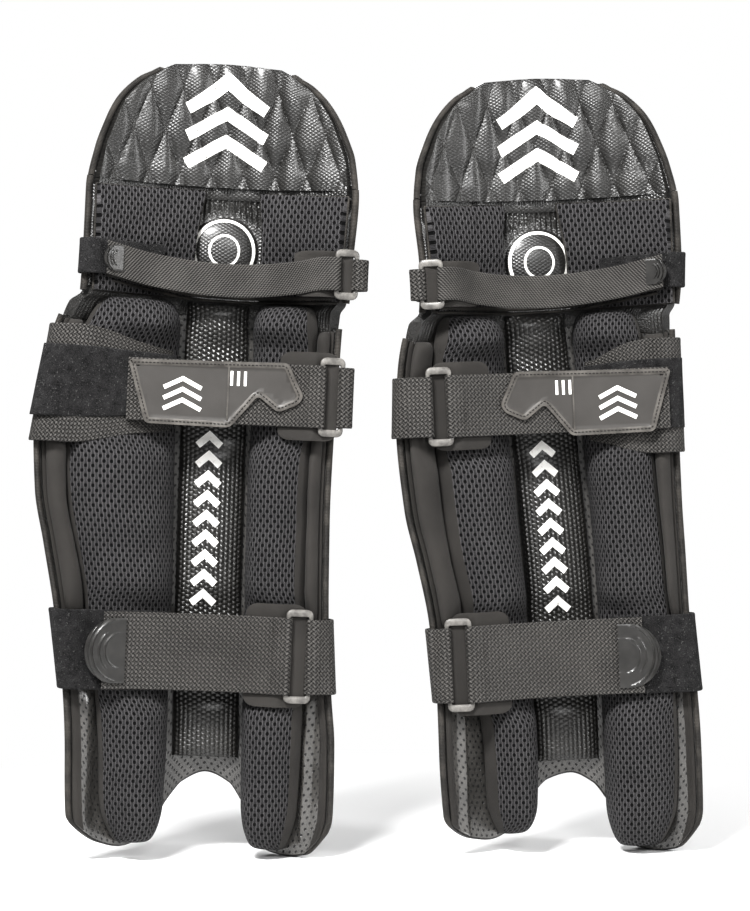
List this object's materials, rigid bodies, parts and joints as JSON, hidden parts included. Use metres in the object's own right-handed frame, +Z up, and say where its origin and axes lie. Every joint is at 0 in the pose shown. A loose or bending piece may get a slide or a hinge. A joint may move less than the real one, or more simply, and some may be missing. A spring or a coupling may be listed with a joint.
{
  "type": "leg guards",
  "caption": "Pair of black padded leg guards with ribbed fronts, knee rolls, stuffed bolsters, and ring-and-webbing straps at the knee, calf and ankle.",
  "frame": {"origin": "middle of the floor under the pair, at the centre of the pair's bounding box, level with the foot seats", "axes": "+Z up along the guards, +X from the left guard to the right guard as seen from the leg side, +Y towards the ribbed fronts, so the straps face -Y"},
  "size_m": [0.6532, 0.1078, 0.7679],
  "materials": {
    "mesh_knit": "matte open mesh knit",
    "gloss_facing": "semi-gloss coated cloth",
    "stretch_cloth": "smooth matte stretch cloth",
    "webbing": "matte woven",
    "loop_pile": "matte brushed loop",
    "moulded_rubber": "satin",
    "ring_plastic": "satin"
  },
  "bodies": {
    "left_shin_body": {"left_shin_shell": "gloss_facing", "left_shin_lining": "gloss_facing", "left_shin_bolster": "gloss_facing", "left_calf_bolster_outer": "mesh_knit", "left_calf_bolster_inner": "mesh_knit", "left_side_roll_outer": "stretch_cloth", "left_side_roll_inner": "stretch_cloth", "left_calf_strap_base": "webbing", "left_calf_ring_anchor": "webbing", "left_ankle_strap_base": "webbing", "left_ankle_ring_anchor": "webbing"},
    "left_knee_body": {"left_knee_cup_panel": "gloss_facing", "left_knee_roll_lower": "gloss_facing", "left_knee_roll_middle": "gloss_facing", "left_knee_roll_upper": "gloss_facing", "left_knee_wing_outer": "mesh_knit", "left_knee_wing_inner": "mesh_knit", "left_knee_strap_base": "loop_pile", "left_knee_ring_anchor": "webbing"},
    "left_top_body": {"left_top_shell": "gloss_facing", "left_top_lining": "gloss_facing"},
    "left_knee_ring_body": {"left_knee_ring": "ring_plastic"},
    "left_knee_strap_body": {"left_knee_strap": "webbing", "left_knee_strap_tab": "moulded_rubber"},
    "left_calf_ring_body": {"left_calf_ring": "ring_plastic"},
    "left_calf_strap_body": {"left_calf_strap": "webbing", "left_calf_badge": "moulded_rubber"},
    "left_ankle_ring_body": {"left_ankle_ring": "ring_plastic"},
    "left_ankle_strap_body": {"left_ankle_strap": "webbing", "left_ankle_strap_tab": "moulded_rubber"},
    "right_shin_body": {"right_shin_shell": "gloss_facing", "right_shin_lining": "gloss_facing", "right_shin_bolster": "gloss_facing", "right_calf_bolster_outer": "mesh_knit", "right_calf_bolster_inner": "mesh_knit", "right_side_roll_outer": "stretch_cloth", "right_side_roll_inner": "stretch_cloth", "right_calf_strap_base": "webbing", "right_calf_ring_anchor": "webbing", "right_ankle_strap_base": "webbing", "right_ankle_ring_anchor": "webbing"},
    "right_knee_body": {"right_knee_cup_panel": "gloss_facing", "right_knee_roll_lower": "gloss_facing", "right_knee_roll_middle": "gloss_facing", "right_knee_roll_upper": "gloss_facing", "right_knee_wing_outer": "mesh_knit", "right_knee_wing_inner": "mesh_knit", "right_knee_strap_base": "loop_pile", "right_knee_ring_anchor": "webbing"},
    "right_top_body": {"right_top_shell": "gloss_facing", "right_top_lining": "gloss_facing"},
    "right_knee_ring_body": {"right_knee_ring": "ring_plastic"},
    "right_knee_strap_body": {"right_knee_strap": "webbing", "right_knee_strap_tab": "moulded_rubber"},
    "right_calf_ring_body": {"right_calf_ring": "ring_plastic"},
    "right_calf_strap_body": {"right_calf_strap": "webbing", "right_calf_badge": "moulded_rubber"},
    "right_ankle_ring_body": {"right_ankle_ring": "ring_plastic"},
    "right_ankle_strap_body": {"right_ankle_strap": "webbing", "right_ankle_strap_tab": "moulded_rubber"}
  },
  "joints": [
    {"name": "guard_spacing", "type": "slide", "parent": "left_shin_body", "child": "right_shin_body", "axis": [1, 0, 0], "range_m": [0, 0.3]},
    {"name": "left_knee_flex", "type": "hinge", "parent": "left_shin_body", "child": "left_knee_body", "pos_m": [-0.14681, 0.02303, 0.53831], "axis": [0.999, 0, -0.0436], "range_deg": [-5, 15]},
    {"name": "left_top_flap_flex", "type": "hinge", "parent": "left_knee_body", "child": "left_top_body", "pos_m": [-0.14181, 0.02303, 0.6527], "axis": [0.999, 0, -0.0436], "range_deg": [-8, 12]},
    {"name": "left_knee_ring_swing", "type": "hinge", "parent": "left_knee_body", "child": "left_knee_ring_body", "pos_m": [-0.01656, -0.04497, 0.56415], "axis": [0.0436, 0, 0.999], "range_deg": [0, 20]},
    {"name": "left_knee_strap_peel", "type": "hinge", "parent": "left_knee_ring_body", "child": "left_knee_strap_body", "pos_m": [-0.03554, -0.04897, 0.56498], "axis": [0.0436, 0, 0.999], "range_deg": [0, 70]},
    {"name": "left_calf_ring_swing", "type": "hinge", "parent": "left_shin_body", "child": "left_calf_ring_body", "pos_m": [-0.02968, -0.03497, 0.44711], "axis": [0.0436, 0, 0.999], "range_deg": [0, 20]},
    {"name": "left_calf_strap_peel", "type": "hinge", "parent": "left_calf_ring_body", "child": "left_calf_strap_body", "pos_m": [-0.04966, -0.03897, 0.44798], "axis": [0.0436, 0, 0.999], "range_deg": [0, 70]},
    {"name": "left_ankle_ring_swing", "type": "hinge", "parent": "left_shin_body", "child": "left_ankle_ring_body", "pos_m": [-0.06054, -0.03497, 0.19872], "axis": [0.0436, 0, 0.999], "range_deg": [0, 20]},
    {"name": "left_ankle_strap_peel", "type": "hinge", "parent": "left_ankle_ring_body", "child": "left_ankle_strap_body", "pos_m": [-0.08252, -0.03697, 0.19968], "axis": [0.0436, 0, 0.999], "range_deg": [0, 70]},
    {"name": "right_knee_flex", "type": "hinge", "parent": "right_shin_body", "child": "right_knee_body", "pos_m": [0.17656, 0.02303, 0.52968], "axis": [0.999, 0, 0.0436], "range_deg": [-5, 15]},
    {"name": "right_top_flap_flex", "type": "hinge", "parent": "right_knee_body", "child": "right_top_body", "pos_m": [0.17157, 0.02303, 0.64407], "axis": [0.999, 0, 0.0436], "range_deg": [-8, 12]},
    {"name": "right_knee_ring_swing", "type": "hinge", "parent": "right_knee_body", "child": "right_knee_ring_body", "pos_m": [0.04631, -0.04497, 0.55552], "axis": [0.0436, 0, -0.999], "range_deg": [0, 20]},
    {"name": "right_knee_strap_peel", "type": "hinge", "parent": "right_knee_ring_body", "child": "right_knee_strap_body", "pos_m": [0.06529, -0.04897, 0.55635], "axis": [0.0436, 0, -0.999], "range_deg": [0, 70]},
    {"name": "right_calf_ring_swing", "type": "hinge", "parent": "right_shin_body", "child": "right_calf_ring_body", "pos_m": [0.05343, -0.04497, 0.43822], "axis": [0.0436, 0, -0.999], "range_deg": [0, 20]},
    {"name": "right_calf_strap_peel", "type": "hinge", "parent": "right_calf_ring_body", "child": "right_calf_strap_body", "pos_m": [0.07441, -0.04397, 0.43914], "axis": [0.0436, 0, -0.999], "range_deg": [0, 70]},
    {"name": "right_ankle_ring_swing", "type": "hinge", "parent": "right_shin_body", "child": "right_ankle_ring_body", "pos_m": [0.07331, -0.03597, 0.18935], "axis": [0.0436, 0, -0.999], "range_deg": [0, 20]},
    {"name": "right_ankle_strap_peel", "type": "hinge", "parent": "right_ankle_ring_body", "child": "right_ankle_strap_body", "pos_m": [0.09529, -0.03747, 0.19031], "axis": [0.0436, 0, -0.999], "range_deg": [0, 70]}
  ]
}
